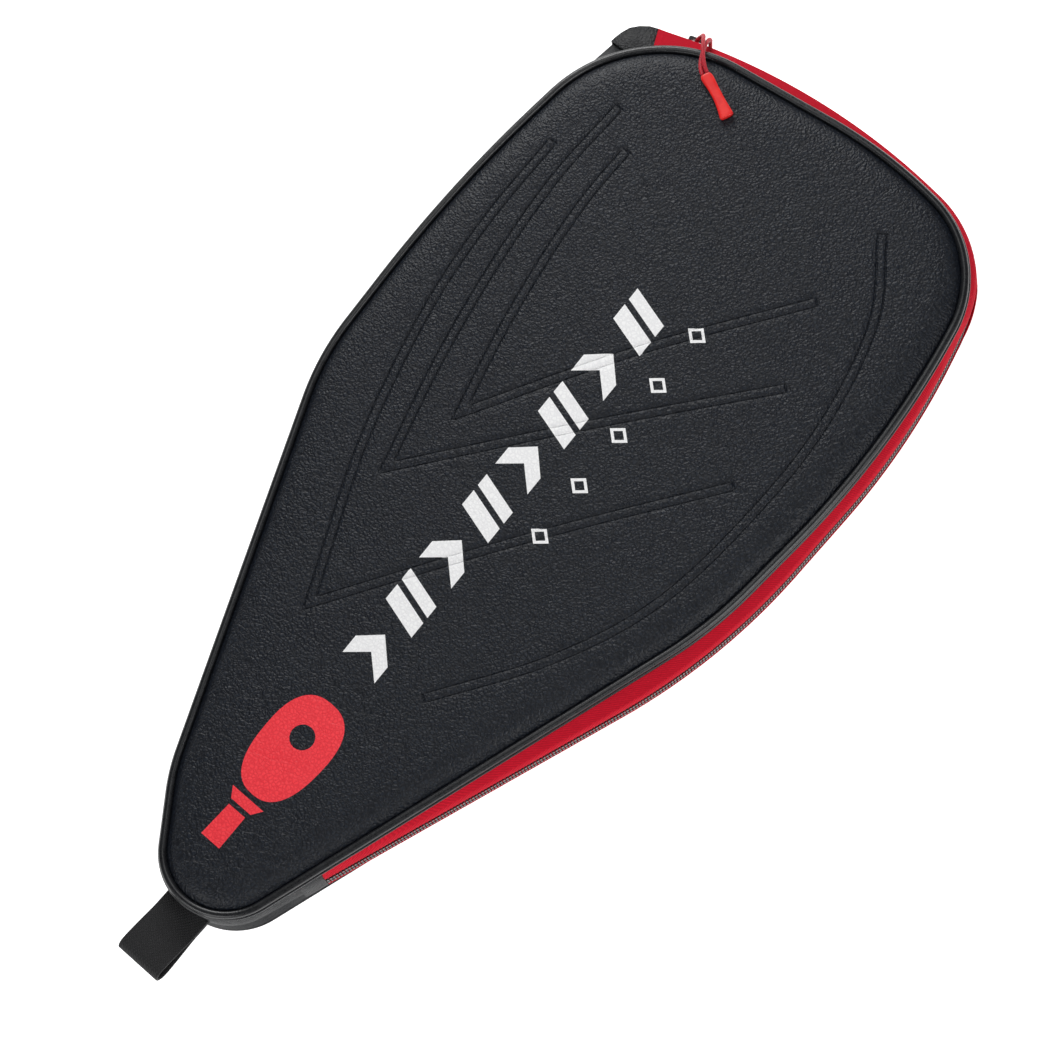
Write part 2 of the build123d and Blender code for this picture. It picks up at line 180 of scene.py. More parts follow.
class Nodes:
    """One material and short ways to add and link its nodes."""

    def __init__(self, name, color, roughness, **sockets):
        self.material = bpy.data.materials.new(name)
        self.material.use_nodes = True
        self.tree = self.material.node_tree
        self.shader = self.tree.nodes["Principled BSDF"]
        self.shader.inputs["Base Color"].default_value = (*color, 1)
        self.shader.inputs["Roughness"].default_value = roughness
        for socket, value in sockets.items():
            self.shader.inputs[socket.replace("_", " ")].default_value = value
        self.place = self.add("ShaderNodeTexCoord").outputs["Object"]

    def add(self, kind, **settings):
        node = self.tree.nodes.new(kind)
        for key, value in settings.items():
            if key in node.inputs:
                node.inputs[key].default_value = value
            else:
                setattr(node, key, value)
        return node

    def link(self, a, b):
        self.tree.links.new(a, b)

    def noise(self, size, detail=3.0, place=None):
        """Noise whose grains are about size millimetres."""
        node = self.add("ShaderNodeTexNoise", Scale=1 / (size * MM), Detail=detail)
        self.link(place or self.place, node.inputs["Vector"])
        return node.outputs["Fac"]

    def moved(self, size, amount):
        """Coordinates pushed about by noise of that size, by up to amount millimetres."""
        node = self.add("ShaderNodeTexNoise", Scale=1 / (size * MM), Detail=2.0)
        self.link(self.place, node.inputs["Vector"])
        centred = self.add("ShaderNodeVectorMath", operation="SUBTRACT")
        self.link(node.outputs["Color"], centred.inputs[0])
        centred.inputs[1].default_value = (0.5, 0.5, 0.5)
        scaled = self.add("ShaderNodeVectorMath", operation="SCALE")
        self.link(centred.outputs[0], scaled.inputs[0])
        scaled.inputs["Scale"].default_value = amount * MM * 2
        total = self.add("ShaderNodeVectorMath", operation="ADD")
        self.link(self.place, total.inputs[0])
        self.link(scaled.outputs[0], total.inputs[1])
        return total.outputs[0]

    def cells(self, size, feature, place=None):
        """Distances in cells about size millimetres across."""
        node = self.add("ShaderNodeTexVoronoi", feature=feature, Scale=1 / (size * MM))
        self.link(place or self.place, node.inputs["Vector"])
        return node.outputs["Distance"]

    def spread(self, value, low, high, to_low=0.0, to_high=1.0):
        """value mapped from low..high to to_low..to_high, kept inside."""
        node = self.add("ShaderNodeMapRange", interpolation_type="SMOOTHSTEP")
        self.link(value, node.inputs["Value"])
        node.inputs["From Min"].default_value = low
        node.inputs["From Max"].default_value = high
        node.inputs["To Min"].default_value = to_low
        node.inputs["To Max"].default_value = to_high
        return node.outputs["Result"]

    def math(self, operation, a, b):
        """a and b, each a number or a socket, put through one math operation."""
        node = self.add("ShaderNodeMath", operation=operation)
        for slot, value in zip(node.inputs, (a, b)):
            if isinstance(value, (int, float)):
                slot.default_value = value
            else:
                self.link(value, slot)
        return node.outputs[0]

    def mix(self, factor, a, b):
        """Colour between a and b."""
        node = self.add("ShaderNodeMix", data_type="RGBA")
        self.link(factor, node.inputs["Factor"])
        for slot, value in ((node.inputs[6], a), (node.inputs[7], b)):
            if isinstance(value, tuple):
                slot.default_value = (*value, 1)
            else:
                self.link(value, slot)
        return node.outputs[2]

    def bump(self, height, depth, strength=1.0, below=None):
        """Bump of that depth in millimetres, on top of the bump below."""
        node = self.add("ShaderNodeBump", Strength=strength, Distance=depth * MM)
        self.link(height, node.inputs["Height"])
        if below:
            self.link(below, node.inputs["Normal"])
        return node.outputs["Normal"]

    def finish(self, color=None, roughness=None, normal=None):
        """Links what is given into the shader."""
        for socket, value in (("Base Color", color), ("Roughness", roughness), ("Normal", normal)):
            if value:
                self.link(value, self.shader.inputs[socket])
        return self.material


def leather(name, dark, light, rough=(0.43, 0.50), grain=1.0, creases=1.0, specular=0.5):
    """Pebbled leather: small cells with fine creases, and wrinkles towards the tail."""
    n = Nodes(name, light, 0.45, Specular_IOR_Level=specular)
    warped = n.moved(4.0, 0.9)
    pebble = n.cells(1.15, "SMOOTH_F1", warped)
    edge = n.cells(1.7, "DISTANCE_TO_EDGE", warped)
    crease = n.spread(edge, 0.0, 0.30)
    folds = n.spread(n.cells(7.5, "DISTANCE_TO_EDGE", n.moved(9.0, 4.5)), 0.0, 0.09)
    along = n.add("ShaderNodeSeparateXYZ")
    n.link(n.place, along.inputs[0])
    tail = n.spread(along.outputs["Y"], -0.02, -0.15, 0.15, 1.0)
    patch = n.spread(n.noise(34.0, 2.0), 0.42, 0.62)
    amount = n.math("MULTIPLY", tail, patch)
    fold_height = n.math("ADD", n.math("MULTIPLY", folds, amount), n.math("SUBTRACT", 1.0, amount))
    normal = n.bump(fold_height, 0.22 * creases, 0.8)
    normal = n.bump(crease, 0.14 * grain, 0.85, normal)
    normal = n.bump(n.math("MULTIPLY", pebble, -1.0), 0.42 * grain, 0.9, normal)
    normal = n.bump(n.noise(0.35, 3.0), 0.05 * grain, 0.5, normal)
    # Colour: painted shade darkens the grain's creases, and noise varies the tone at random over the cells.
    crease_shade_and_tone = n.math("MULTIPLY", crease, n.spread(n.noise(18.0), 0.3, 0.7, 0.8, 1.0))
    color = n.mix(crease_shade_and_tone, dark, light)
    roughness = n.spread(n.noise(11.0, 4.0), 0.3, 0.7, *rough)
    return n.finish(color, roughness, normal)


def woven(name, dark, light, size, rough, depth=0.12, **sockets):
    """Plain weave of threads size millimetres apart."""
    n = Nodes(name, light, rough, **sockets)
    turned = n.add("ShaderNodeMapping")
    turned.inputs["Rotation"].default_value = (0.5, 0.45, 0.78)
    n.link(n.moved(6.0, 0.12), turned.inputs["Vector"])
    waves = []
    for direction in ("X", "Y"):
        wave = n.add("ShaderNodeTexWave", bands_direction=direction, Scale=0.314 / (size * MM))
        n.link(turned.outputs[0], wave.inputs["Vector"])
        waves.append(wave.outputs["Fac"])
    thread = n.math("MULTIPLY", waves[0], waves[1])
    fuzz = n.noise(0.4, 4.0)
    height = n.math("ADD", thread, n.math("MULTIPLY", fuzz, 0.5))
    # Colour: painted shade darkens the low gaps between the threads, and noise varies the tone at random.
    shade = n.math("MULTIPLY", n.spread(thread, 0.0, 0.8), n.spread(n.noise(7.0), 0.3, 0.7, 0.7, 1.0))
    return n.finish(n.mix(shade, dark, light), n.spread(fuzz, 0.2, 0.8, rough - 0.08, rough + 0.1),
                    n.bump(height, depth, 0.8))


def plain(name, dark, light, rough, grain=0.6, depth=0.03, **sockets):
    """Moulded or metal surface with faint mottling and a fine grain."""
    n = Nodes(name, light, rough, **sockets)
    mottle = n.spread(n.noise(5.0, 3.0), 0.3, 0.7)
    fine = n.noise(grain, 3.0)
    return n.finish(n.mix(mottle, dark, light), n.spread(fine, 0.2, 0.8, rough - 0.06, rough + 0.08),
                    n.bump(fine, depth, 0.6))


def braided(name, dark, light):
    """Round braid: fine diagonal strands."""
    n = Nodes(name, light, 0.6)
    strands = n.cells(0.55, "SMOOTH_F1", n.moved(0.8, 0.15))
    fuzz = n.noise(0.25, 4.0)
    height = n.math("ADD", n.math("MULTIPLY", strands, -1.0), n.math("MULTIPLY", fuzz, 0.4))
    # Colour: painted shade, lighter on each raised strand's middle and darker in the low edges between
    # strands.
    return n.finish(n.mix(n.spread(strands, 0.1, 0.55), light, dark), None, n.bump(height, 0.12, 0.8))


# Each takes a dark and a light colour, then its roughness and texture.
LEATHER = leather("leather", (0.0030, 0.0042, 0.0075), (0.0080, 0.0118, 0.0195), specular=0.33)
PRINT_WHITE = leather("print_white", (0.84, 0.84, 0.85), (0.95, 0.95, 0.95), (0.42, 0.5), 0.35, 0.5)
PRINT_RED = leather("print_red", (0.80, 0.03, 0.045), (0.95, 0.05, 0.065), (0.42, 0.5), 0.4, 0.5, 0.35)
PIPING = plain("piping", (0.006, 0.0065, 0.008), (0.011, 0.012, 0.014), 0.30, 0.9, 0.05)
GUSSET_RED = woven("gusset_red", (0.42, 0.003, 0.016), (0.72, 0.006, 0.026), 0.55, 0.8, 0.12,
                   Specular_IOR_Level=0.15)
TAPE_RED = woven("tape_red", (0.38, 0.003, 0.014), (0.60, 0.005, 0.020), 0.8, 0.74, 0.16,
                 Specular_IOR_Level=0.2)
GUSSET_BLACK = leather("gusset_black", (0.004, 0.005, 0.006), (0.008, 0.009, 0.012), (0.5, 0.6),
                       0.7, 0.3, 0.3)
LINING = woven("lining", (0.028, 0.028, 0.031), (0.05, 0.05, 0.055), 0.7, 0.9, 0.08)
BINDING = woven("binding", (0.010, 0.010, 0.011), (0.022, 0.022, 0.024), 0.8, 0.85, 0.14)
TEETH = plain("teeth", (0.012, 0.012, 0.013), (0.022, 0.022, 0.024), 0.35)
STOPS = plain("stops", (0.02, 0.02, 0.022), (0.05, 0.05, 0.055), 0.38, Metallic=0.9)
SLIDER = plain("slider", (0.008, 0.008, 0.009), (0.020, 0.020, 0.022), 0.33, 0.8, 0.05)
GRIP = plain("grip", (0.74, 0.012, 0.012), (0.84, 0.022, 0.016), 0.38, 1.2, 0.05)
WEBBING = woven("webbing", (0.006, 0.006, 0.007), (0.020, 0.020, 0.022), 1.0, 0.78, 0.35)
CORD = braided("cord", (0.36, 0.003, 0.015), (0.62, 0.008, 0.026))


# ---- puller's cord, along the same route as its solids ----
# The routes and the grip are in the slider's frame: x along the zip, y down and z out of the edge.
SLIDER_ORIGIN = (-80.8829, 219.693, MID_Z)
SLIDER_ALONG = (0.950598, 0.310424, 0.0)
SLIDER_OUT = (-0.310424, 0.950598, 0.0)
BIGHT_ROUTE = [
    (6.9, -4.7, 4.95),
    (6.7, 0.0, 4.6),
    (6.2, 4.8, 4.1),
    (1.0, 5.0, 3.7),
    (0.0, 0.4, 3.65),
    (0.3, -3.0, 3.75),
    (1.3, -5.0, 4.95),
]
NEAR_LEG = [
    (7.2, -6.9, 5.1),
    (7.6, -12.4, 3.6),
    (8.0, -17.6, -2.0),
    (10.7, -20.2, -14.1),
    (13.8, -20.9, -16.9),
]
FAR_LEG = [
    (2.4, -6.9, 5.1),
    (4.6, -13.0, 4.6),
    (7.4, -20.4, -1.6),
    (12.2, -21.6, -12.4),
    (15.4, -20.9, -15.1),
]
GRIP_WAY = (0.749, 0.0, -0.663)
GRIP_LENGTH = 24.0
# Half the grip's width, at distances from its shoulder.
GRIP_SIDE = [(0.0, 2.6), (2.2, 3.0), (8.0, 2.5), (14.0, 2.4), (20.6, 3.1), (23.2, 3.5), (24.0, 3.0)]
# Sections of the grip: distance from the shoulder, and the share of its size there, which rounds both ends.
GRIP_SECTIONS = [
    (0.0, 0.72), (0.25, 0.88), (0.8, 0.97), (1.6, 1), (2.6, 1), (4.0, 1), (6.0, 1), (9.0, 1), (12.0, 1),
    (15.0, 1), (18.0, 1), (20.6, 1), (22.2, 1), (23.2, 1), (23.75, 0.95), (24.0, 0.84),
]
GRIP_THICKNESS = 2.8
GRIP_WAIST = 0.14           # half the share of its thickness that the grip loses at mid-length
GRIP_BOW = 0.5
GRIP_SQUARENESS = 0.62
GRIP_SIDES = 24
GRIP_GAP = 0.1
CORD_D = 2.0
CORD_SIDES = 12
CORD_FINENESS = 10


def from_slider(point):
    """A point of the slider's frame, in millimetres of the row frame."""
    x, y, z = point
    return tuple(
        o + x * a + z * n - y * k
        for o, a, n, k in zip(SLIDER_ORIGIN, SLIDER_ALONG, SLIDER_OUT, (0, 0, 1))
    )


def nurbs_points(route):
    """Points in metres along the smooth line of a route."""
    curve = bpy.data.curves.new("route", "CURVE")
    curve.dimensions = "3D"
    curve.resolution_u = CORD_FINENESS
    spline = curve.splines.new("NURBS")
    spline.points.add(len(route) - 1)
    for point, place in zip(spline.points, route):
        point.co = (*[x * MM for x in place], 1)
    spline.order_u = 3
    spline.use_endpoint_u = True
    holder = bpy.data.objects.new("route", curve)
    bpy.context.scene.collection.objects.link(holder)
    bpy.context.view_layer.update()
    evaluated = holder.evaluated_get(bpy.context.evaluated_depsgraph_get())
    mesh = bpy.data.meshes.new_from_object(evaluated)
    points = [v.co.copy() for v in mesh.vertices]
    bpy.data.objects.remove(holder)
    bpy.data.curves.remove(curve)
    bpy.data.meshes.remove(mesh)
    return points


def tube(name, points, radius, material):
    """Closed tube along points in metres, whose sections don't twist."""
    verts = []
    side = None
    for i, point in enumerate(points):
        way = (points[min(i + 1, len(points) - 1)] - points[max(i - 1, 0)]).normalized()
        side = way.orthogonal() if side is None else side - way * side.dot(way)
        side.normalize()
        other = way.cross(side)
        for k in range(CORD_SIDES):
            angle = 2 * math.pi * k / CORD_SIDES
            verts.append((point + (side * math.cos(angle) + other * math.sin(angle)) * radius) / MM)
    return mesh_object(name, verts, swept_faces(len(points), CORD_SIDES), material)


def add_puller():
    """The cord through the slider's bridge, with the grip that both of its ends go into."""
    route = [from_slider(p) for p in NEAR_LEG[::-1] + BIGHT_ROUTE + FAR_LEG]
    points = nurbs_points(route)
    cord = tube("puller_cord", points, CORD_D / 2 * MM, CORD)
    grip = add_grip()
    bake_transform(cord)
    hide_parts("puller_cord_bight", "puller_cord_legs")


def add_grip():
    """Moulded grip of rounded sections, shouldered at the cord and flared at its blunt end."""
    way = Vector(GRIP_WAY).normalized()
    side = Vector((-way.z, 0, way.x))
    start = (Vector(NEAR_LEG[-1]) + Vector(FAR_LEG[-1])) / 2 + way * GRIP_GAP
    known = [p[0] for p in GRIP_SIDE]
    widths = [p[1] for p in GRIP_SIDE]
    verts = []
    for place, scale in GRIP_SECTIONS:
        width = float(np.interp(place, known, widths)) * scale
        waist = (1 - GRIP_WAIST) + GRIP_WAIST * math.cos(place / GRIP_LENGTH * 2 * math.pi)
        thick = GRIP_THICKNESS / 2 * waist * scale
        bow = GRIP_BOW * math.sin(math.pi * place / GRIP_LENGTH)
        centre = start + way * place + side * bow
        for k in range(GRIP_SIDES):
            angle = 2 * math.pi * k / GRIP_SIDES
            c = signed_power(math.cos(angle), GRIP_SQUARENESS)
            s = signed_power(math.sin(angle), GRIP_SQUARENESS)
            verts.append(from_slider(centre + side * (width * c) + Vector((0, 1, 0)) * (thick * s)))
    grip = mesh_object("pull_grip", verts, swept_faces(len(GRIP_SECTIONS), GRIP_SIDES), GRIP)
    fix_normals(grip)
    smooth = grip.modifiers.new("smooth", "SUBSURF")
    smooth.levels = smooth.render_levels = 1
    ride_as(grip, "puller", "grip_red", "puller_grip")
    return grip


add_puller()


# ---- outlines ----

def left_normal(a, b):
    """Unit vector to the left of the way from a to b."""
    dx = b[0] - a[0]
    dy = b[1] - a[1]
    length = math.hypot(dx, dy)
    return (-dy / length, dx / length)


def sampled(corners, step):
    """Points and outward normals, about step apart, round an outline of rounded corners."""
    points = []
    normals = []
    arcs = []
    count = len(corners)
    for i, (x, y, r) in enumerate(corners):
        n1 = left_normal(corners[i - 1], (x, y))
        n2 = left_normal((x, y), corners[(i + 1) % count])
        k = r / (1 + n1[0] * n2[0] + n1[1] * n2[1])
        centre = (x - k * (n1[0] + n2[0]), y - k * (n1[1] + n2[1]))
        a1 = math.atan2(n1[1], n1[0])
        a2 = math.atan2(n2[1], n2[0])
        turn = (a2 - a1 + math.pi) % (2 * math.pi) - math.pi
        arcs.append((centre, r, a1, turn, n2))
    for i, (centre, r, a1, turn, n2) in enumerate(arcs):
        parts = max(2, round(abs(turn) * r / step))
        for j in range(parts + 1):
            a = a1 + turn * j / parts
            points.append((centre[0] + r * math.cos(a), centre[1] + r * math.sin(a)))
            normals.append((math.cos(a), math.sin(a)))
        (next_x, next_y), next_r, next_a, _, _ = arcs[(i + 1) % count]
        end = (next_x + next_r * math.cos(next_a), next_y + next_r * math.sin(next_a))
        begin = points[-1]
        gap = math.hypot(end[0] - begin[0], end[1] - begin[1])
        parts = round(gap / step)
        for j in range(1, parts):
            t = j / parts
            points.append((begin[0] + (end[0] - begin[0]) * t, begin[1] + (end[1] - begin[1]) * t))
            normals.append(n2)
    return np.array(points), np.array(normals)


RING_STEP = 2.0
FINE_STEP = 0.1
PIPING_XY, PIPING_N = sampled(PIPING_CORNERS, RING_STEP)
RING = len(PIPING_XY)


def nearest_index(points, point):
    """Which of the points is nearest to the point."""
    return int(np.argmin((points[:, 0] - point[0]) ** 2 + (points[:, 1] - point[1]) ** 2))


def zip_beside():
    """The zip line's point and normal beside each point of the piping line."""
    fine, normals = sampled(ZIP_CORNERS, FINE_STEP)
    nearest = [nearest_index(fine, point) for point in PIPING_XY]
    return fine[nearest], normals[nearest]


ZIP_XY, ZIP_N = zip_beside()
AT_START = nearest_index(ZIP_XY, ZIP_START)
AT_END = nearest_index(ZIP_XY, ZIP_END)

# How far the sewn gusset swells beyond the zip line, by the direction it faces in degrees.
SWELL_FACING = [-180, -120, -90, -20, 15, 45, 80, 115, 130, 150, 180]
SWELL_BY = [2.4, 0.0, -1.8, -2.3, -1.6, 0.4, 0.3, 0.4, 2.0, 3.4, 2.4]


def lines_of_edge():
    """Every line that a section may be given on: piping, tape and swollen gusset."""
    facing = np.degrees(np.arctan2(ZIP_N[:, 1], ZIP_N[:, 0]))
    swell = np.interp(facing, SWELL_FACING, SWELL_BY)[:, None]
    return {
        "piping": (PIPING_XY, PIPING_N),
        "tape": (ZIP_XY + ZIP_N * np.minimum(swell, 0), ZIP_N),
        "swell": (ZIP_XY + ZIP_N * swell, ZIP_N),
    }


LINES = lines_of_edge()


def ring_mesh(name, profile, material, first=0, last=None, closed=True, back=False):
    """Sweep of a section, given as (line, reach, z), round the ring or along part of it."""
    whole = last is None
    last = RING if whole else last
    steps = [i % RING for i in range(first, last if whole else last + 1)]
    verts = []
    for i in steps:
        for line, reach, z in profile:
            xy, normal = LINES[line]
            x, y = xy[i] + normal[i] * reach
            verts.append((x, y, DEPTH - z if back else z))
    faces = swept_faces(len(steps), len(profile), looped=whole, closed=closed)
    obj = mesh_object(name, verts, faces, material)
    fix_normals(obj)
    return obj


def bend_cover(obj):
    """Bakes the piece's placement into its mesh."""
    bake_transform(obj)


def settle(obj, back, slot, *nodes):
    """Puts a piece of the back on the case, or bakes one of the front in place, and hides the nodes it stands
    for.
    """
    if back:
        ride_as(obj, "case", slot, *nodes)
        return
    bend_cover(obj)
    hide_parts(*nodes)


# ---- piping, gussets, tapes and teeth ----

def circle(line, reach, z, r, sides):
    """Round section, as ring_mesh takes it."""
    angles = [2 * math.pi * k / sides for k in range(sides)]
    return [(line, reach + r * math.cos(a), z + r * math.sin(a)) for a in angles]


def both_sides(layer, back):
    """The nodes of a layer on one half: one on the back, two on the front."""
    return [f"back_{layer}"] if back else [f"front_{layer}", f"flap_{layer}"]


PIPING_R = 1.9
PIPING_SIDES = 20


def zip_nodes(layer, back):
    """The nodes of a layer of the zipped stretch on one half."""
    return [f"back_zip_{layer}"] if back else [f"front_zip_{layer}_start", f"flap_zip_{layer}"]


def add_piping(back):
    """The round roll of the piping, and the lip by which it is sewn in."""
    half = "back" if back else "front"
    section = circle("piping", 0, PIPING_Z, PIPING_R, PIPING_SIDES)
    roll = ring_mesh(f"{half}_piping", section, PIPING, back=back)
    settle(roll, back, "piping_black", *both_sides("piping_cover", back), *both_sides("piping_cord", back))
    flange = [
        ("piping", 0.6, 31.6), ("piping", 1.5, 31.9), ("piping", 2.15, 31.75), ("piping", 2.5, 31.2),
        ("piping", 2.4, 30.5), ("piping", 1.7, 30.1), ("piping", 0.6, 30.2),
    ]
    lip = ring_mesh(f"{half}_piping_lip", flange, PIPING, back=back)
    settle(lip, back, "piping_black")


def add_zip_side(back):
    """Red strip, tape half and teeth of one half of the zipped stretch."""
    half = "back" if back else "front"
    strip = [
        ("piping", 1.45, 30.9), ("piping", 2.1, 29.6), ("swell", 0.9, 27.8), ("swell", 1.5, 26.0),
        ("tape", 1.9, 24.6), ("tape", 1.95, 23.95), ("tape", 1.8, 23.75), ("tape", 1.4, 23.75),
        ("tape", 0.7, 24.4), ("piping", 0.1, 29.6), ("piping", 0.1, 30.9),
    ]
    mesh = ring_mesh(f"{half}_strip", strip, GUSSET_RED, AT_START, AT_END, back=back)
    settle(mesh, back, "gusset_red", *zip_nodes("gusset", back))
    tape = [("tape", 0.85, 24.4), ("tape", 0.95, 21.5), ("tape", 0.85, 19.4), ("tape", 0.6, 19.08),
            ("tape", 0.1, 19.08), ("tape", 0.05, 24.4)]
    mesh = ring_mesh(f"{half}_tape", tape, TAPE_RED, AT_START, AT_END, back=back)
    settle(mesh, back, "zip_tape_red", *zip_nodes("tape", back))
    add_teeth(half, back)


TOOTH_PITCH = 1.6
TOOTH_HALF = 0.5            # half a tooth's length along the zip
TOOTH = [(-0.06, 22.0), (-1.5, 22.0), (-1.9, 21.4), (-1.9, 19.75), (-1.4, 19.62), (-0.06, 19.62)]


def add_teeth(half, back):
    """Row of moulded teeth on the inner face of the tape."""
    spots, normals = sampled(ZIP_CORNERS, TOOTH_PITCH)
    verts = []
    faces = []
    for i in range(nearest_index(spots, ZIP_START), nearest_index(spots, ZIP_END)):
        along = np.array((normals[i][1], -normals[i][0]))
        faces += swept_faces(2, len(TOOTH), base=len(verts))
        for shift in (-TOOTH_HALF, TOOTH_HALF):
            for reach, z in TOOTH:
                x, y = spots[i] + normals[i] * reach + along * shift
                verts.append((x, y, DEPTH - z if back else z))
    row = mesh_object(f"{half}_teeth", verts, faces, TEETH, smooth=False)
    fix_normals(row)
    settle(row, back, "zip_teeth_black", *zip_nodes("teeth", back))


SPINE_THICKNESS = 1.35
SPINE_LINING_IN = 1.55      # how far inside the gusset's outer face its lining lies
SPINE_LINING_Z = (7.6, 30.4)


def add_spine():
    """Black gusset and its lining along the closed side and the tail."""
    outer = [("piping", 1.4, 7.1), ("piping", 2.4, 9.5), ("swell", 0.2, 13.0), ("swell", 0.9, 16.5),
             ("swell", 1.0, 19.0), ("swell", 0.9, 21.5), ("swell", 0.2, 25.0), ("piping", 2.4, 28.5),
             ("piping", 1.4, 30.9)]
    inner = [(line, reach - SPINE_THICKNESS, z) for line, reach, z in reversed(outer)]
    wall = ring_mesh("spine_wall", outer + inner, GUSSET_BLACK, AT_END, AT_START + RING)
    ride_as(wall, "case", "leather_black", "spine_gusset")
    low, high = SPINE_LINING_Z
    cloth = [(line, reach - SPINE_LINING_IN, min(max(z, low), high)) for line, reach, z in outer]
    lining = ring_mesh("spine_cloth", cloth, LINING, AT_END, AT_START + RING, closed=False)
    ride_as(lining, "case", "lining_charcoal", "spine_lining")


TAB_STEPS = 6               # ring steps that each hemmed tab is long
TAB_THICKNESS = 1.1
TAB_HEM = 0.4


def add_tabs():
    """Hemmed tabs over both ends of the zip, and the stop at its lower end."""
    outer = [("piping", 2.2, 29.0), ("swell", 1.4, 26.4), ("swell", 1.6, 23.6), ("swell", 1.6, 14.4),
             ("swell", 1.4, 11.6), ("piping", 2.2, 9.0)]
    section = outer + [(line, reach - TAB_THICKNESS, z) for line, reach, z in reversed(outer)]
    for name, first in (("start_tab", AT_START - TAB_STEPS), ("end_tab", AT_END)):
        tab = ring_mesh(name, section, GUSSET_BLACK, first, first + TAB_STEPS)
        hem = tab.modifiers.new("hem", "BEVEL")
        hem.width = TAB_HEM * MM
        hem.segments = 2
        ride_as(tab, "case", "leather_black", f"zip_{name}")
    crimp = [("tape", 0.98, 18.4), ("tape", 1.5, 18.2), ("tape", 1.5, 16.2), ("tape", 0.98, 16.0)]
    stop = ring_mesh("lower_stop", crimp, STOPS, AT_END - 2, AT_END - 1)
    ride_as(stop, "case", "zip_stop", "zip_bottom_stop")


# ---- panels ----
SKIN_EDGE = 1.7             # where the skin goes into the seam, inside the piping line
SKIN_TOP = 38.2
ROLL = 3.9                  # how quickly the padded edge rolls down to the seam
RINGS = [1.7, 1.85, 2.1, 2.5, 3.0, 3.7, 4.6, 5.7, 7.2, 9.0, 11.2, 14.0]   # insets of the rolled edge's rings
LIP = 0.25                  # how far the skin stands up where it goes into the seam
LIP_WITHIN = 1.8
CROWN = 0.8
CROWN_FROM = 14.0
CROWN_REACH = 45.0
GRID = 3.0
ROW_SHARE = 0.866           # row spacing of a triangular grid

# Unevenness of the padded face: height, size across and place in the noise, then the creases towards the tail.
FADE_FROM = 3.0
FADE_OVER = 12.0
UNEVEN = [(0.10, 26.0, 1.3), (0.05, 9.0, 4.1)]
TAIL_FROM_Y = 60.0
TAIL_OVER = 200.0
TAIL_HEIGHT = 0.10
TAIL_SIZE_X = 6.0
TAIL_SLANT = 11.0
TAIL_SIZE_Y = 14.0
TAIL_SEED = 7.7

BAND_HALF = 2.1             # half the width of an embossed band
BAND_END_POINTS = 7
LONG_LINE = 12              # a line with more points than this is not a band's end
GROOVE_DEPTH = 0.75
GROOVE_HALF = 0.36
GROOVE_REACH = 3.0          # beyond this distance a groove has no effect
RIDGE = 0.05                # the leather's rise beside a groove
RIDGE_AT = 1.0
RIDGE_HALF = 0.4
GROOVE_ROWS = (-0.85, -0.5, -0.22, 0.0, 0.22, 0.5, 0.85)   # rows of points along every groove

# Embossed bands: nested chevrons with bowed outer arms, and one long curve by the zip side.
CHEVRONS = [
    [(-66, 158), (-65, 128), (-60, 92), (-52, 54), (-41, 14), (2, 88), (50, 158)],
    [(-83, 172), (-83, 128), (-77, 80), (-66, 28), (-50, -27), (8, 47), (66, 118)],
    [(-96, 140), (-94, 92), (-86, 40), (-66, -26), (-34, -97), (24, -8), (78, 68)],
]
CHEVRON_CORNER = 4
SIDE_CURVE = [(52, 202), (77, 166), (91, 112), (93, 54), (87, 2), (68, -46), (36, -96)]


def smooth_line(points, step=0.8):
    """Points about step apart on a smooth curve through the given points."""
    p = [np.array(q, float) for q in points]
    p = [2 * p[0] - p[1]] + p + [2 * p[-1] - p[-2]]
    line = []
    for a, b, c, d in zip(p, p[1:], p[2:], p[3:]):
        parts = max(2, int(np.linalg.norm(c - b) / step))
        for j in range(parts):
            t = j / parts
            line.append(0.5 * (2 * b + (c - a) * t + (2 * a - 5 * b + 4 * c - d) * t * t
                               + (3 * b - a - 3 * c + d) * t ** 3))
    line.append(p[-2])
    return np.array(line)


def beside(line, shift):
    """The line moved sideways by shift."""
    way = np.gradient(line, axis=0)
    way /= np.linalg.norm(way, axis=1)[:, None]
    return line + np.stack([-way[:, 1], way[:, 0]], axis=1) * shift


def crossing(a, b):
    """Cuts two lines off where they cross, a's end against b's start."""
    gaps = ((a[:, None, :] - b[None, :, :]) ** 2).sum(axis=2)
    i, j = np.unravel_index(np.argmin(gaps), gaps.shape)
    return a[:i + 1], b[j:]


CROSSING_STEPS = 7          # points by which two outer edges are made longer, so that they cross


def groove_lines():
    """Both edges of every embossed band, and its closed ends."""
    lines = []
    for points in CHEVRONS:
        one = smooth_line(points[:CHEVRON_CORNER + 1])
        two = smooth_line(points[CHEVRON_CORNER:])
        for shift in (-BAND_HALF, BAND_HALF):
            a = beside(one, shift)
            b = beside(two, shift)
            if shift < 0:
                past = np.arange(1, CROSSING_STEPS + 1)[:, None]
                a = np.vstack([a, a[-1] + (a[-1] - a[-2]) * past])
                b = np.vstack([b[0] - (b[1] - b[0]) * past[::-1], b])
            a, b = crossing(a, b)
            lines.append(np.vstack([a, b]))
    curve = smooth_line(SIDE_CURVE)
    lines.append(beside(curve, -BAND_HALF))
    lines.append(beside(curve, BAND_HALF))
    ends = []
    for one, two in zip(lines[::2], lines[1::2]):
        for e in (0, -1):
            ends.append(one[e] + (two[e] - one[e]) * np.linspace(0, 1, BAND_END_POINTS)[:, None])
    return lines + ends


def thinned(line, keep):
    """Every keep-th point of a long line, and a band's end as it is."""
    return line[::keep] if len(line) > LONG_LINE else line


def tree_of(points):
    """Search tree of points in the plane."""
    tree = KDTree(len(points))
    for i, p in enumerate(points):
        tree.insert((p[0], p[1], 0), i)
    tree.balance()
    return tree


